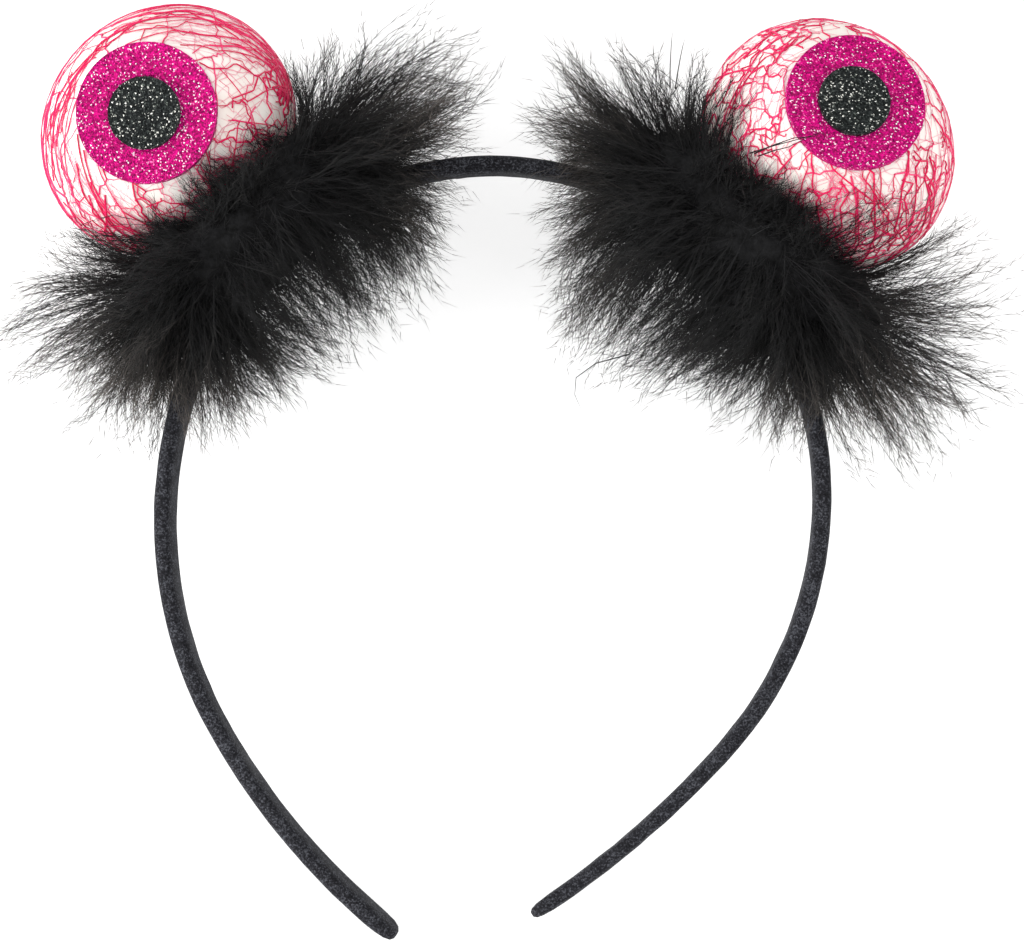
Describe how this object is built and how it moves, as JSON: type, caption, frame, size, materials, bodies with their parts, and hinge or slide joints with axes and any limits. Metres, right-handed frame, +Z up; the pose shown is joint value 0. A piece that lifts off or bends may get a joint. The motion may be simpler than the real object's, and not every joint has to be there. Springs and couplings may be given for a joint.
{
  "type": "eyeball headband",
  "caption": "Satin-covered hair band bent to a bow, topped with net-wrapped eyeballs that have glitter irises and a ring of marabou feathers round each foot.",
  "frame": {"origin": "under the middle of the headband's footprint, on the surface that it lies on", "axes": "+X along the crown, from the wearer's right to the left; +Y from the tips towards the crown; +Z up, away from the surface, the way the irises look"},
  "size_m": [0.1938, 0.1794, 0.0559],
  "materials": {
    "satin_black": "black satin ribbon glued round the strip",
    "foam_white": "matt white foam ball",
    "net_red": "crimson crackle net",
    "glitter_magenta": "magenta glitter foam sheet",
    "glitter_black": "black glitter foam sheet",
    "marabou_black": "black marabou down"
  },
  "bodies": {
    "root": {"band": "satin_black", "left_eyeball": "foam_white", "right_eyeball": "foam_white", "left_vein_net": "net_red", "right_vein_net": "net_red", "left_iris": "glitter_magenta", "right_iris": "glitter_magenta", "left_pupil": "glitter_black", "right_pupil": "glitter_black", "left_marabou_trim": "marabou_black", "right_marabou_trim": "marabou_black"}
  },
  "joints": []
}
